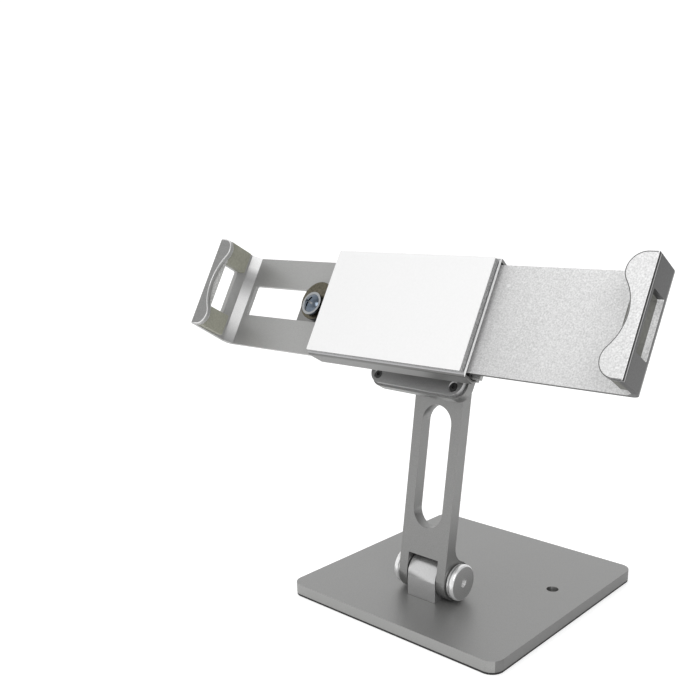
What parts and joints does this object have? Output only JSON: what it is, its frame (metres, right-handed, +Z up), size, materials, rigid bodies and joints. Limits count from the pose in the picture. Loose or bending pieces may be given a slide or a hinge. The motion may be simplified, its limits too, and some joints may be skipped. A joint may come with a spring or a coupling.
{
  "type": "tablet stand",
  "caption": "Table stand with a tilting slotted post on a square base and a turning head whose two hooked arms slide to grip a tablet.",
  "frame": {"origin": "centre of the base's footprint, on the table", "axes": "+X to the user's right, +Y away from the user, +Z up; the stand is stored as pictured"},
  "size_m": [0.2588, 0.153, 0.1976],
  "materials": {
    "grey_aluminium": "fine sandblasted and anodised, satin",
    "silver_aluminium": "bright sandblasted and anodised, visible grain",
    "white_pad": "smooth matt white sheet",
    "black_rubber": "matt",
    "grey_rubber": "matt grey",
    "black_plastic": "matt",
    "bright_steel": "bright turned",
    "plated_zinc": "polished plating",
    "dull_washer": "dull olive plating",
    "black_steel": "black oxide",
    "brass": "turned"
  },
  "bodies": {
    "base": {"base_plate": "grey_aluminium", "rubber_mat": "black_rubber", "hinge_block": "grey_aluminium", "block_screws": "black_steel"},
    "post": {"hinge_bolt": "bright_steel", "hinge_nut": "bright_steel", "hinge_collars": "bright_steel", "friction_washers": "black_plastic", "post": "grey_aluminium", "turntable_plate": "grey_aluminium", "plate_screws": "black_steel", "pivot_bolt": "bright_steel", "turntable_washer": "black_plastic", "pivot_washer": "bright_steel", "pivot_nut": "bright_steel"},
    "head": {"back_plate": "grey_aluminium", "rotor_disc": "grey_aluminium", "rotor_screws": "black_steel", "front_cover": "grey_aluminium", "pad_foam": "black_plastic", "pad_face": "white_pad", "guide_strips": "black_plastic", "spacer_strips": "black_plastic", "cover_standoffs": "brass", "cover_screws": "black_steel", "clamp_bush": "bright_steel", "clamp_washer": "dull_washer", "lock_barrel": "plated_zinc", "lock_nut": "bright_steel"},
    "lock": {"lock_plug": "bright_steel", "lock_cam": "bright_steel", "cam_screw": "black_steel"},
    "left_arm": {"left_arm": "grey_aluminium", "left_liner": "grey_rubber"},
    "clamp_screw": {"clamp_screw": "bright_steel", "clamp_spacer": "black_plastic"},
    "right_arm": {"right_arm": "silver_aluminium", "right_liner": "grey_rubber", "brake_strip": "bright_steel", "strip_rivets": "bright_steel"}
  },
  "joints": [
    {"name": "base_tilt", "type": "hinge", "parent": "base", "child": "post", "pos_m": [0, -0.029, 0.0183], "axis": [1, 0, 0], "range_deg": [-60, 36]},
    {"name": "head_turn", "type": "hinge", "parent": "post", "child": "head", "pos_m": [0, -0.05635, 0.16646], "axis": [0, 0.8669, -0.4985], "continuous": true},
    {"name": "left_arm_slide", "type": "slide", "parent": "head", "child": "left_arm", "axis": [0.9998, 0.0087, 0.0151], "range_m": [-0.03, 0.044]},
    {"name": "right_arm_slide", "type": "slide", "parent": "head", "child": "right_arm", "axis": [0.9998, 0.0087, 0.0151], "range_m": [-0.044, 0.021]},
    {"name": "clamp_screw_turn", "type": "hinge", "parent": "head", "child": "clamp_screw", "pos_m": [-0.06599, -0.05693, 0.16546], "axis": [0, 0.8669, -0.4985], "continuous": true},
    {"name": "lock_turn", "type": "hinge", "parent": "head", "child": "lock", "pos_m": [0.03799, -0.05602, 0.16703], "axis": [0, -0.8669, 0.4985], "range_deg": [0, 90]}
  ]
}
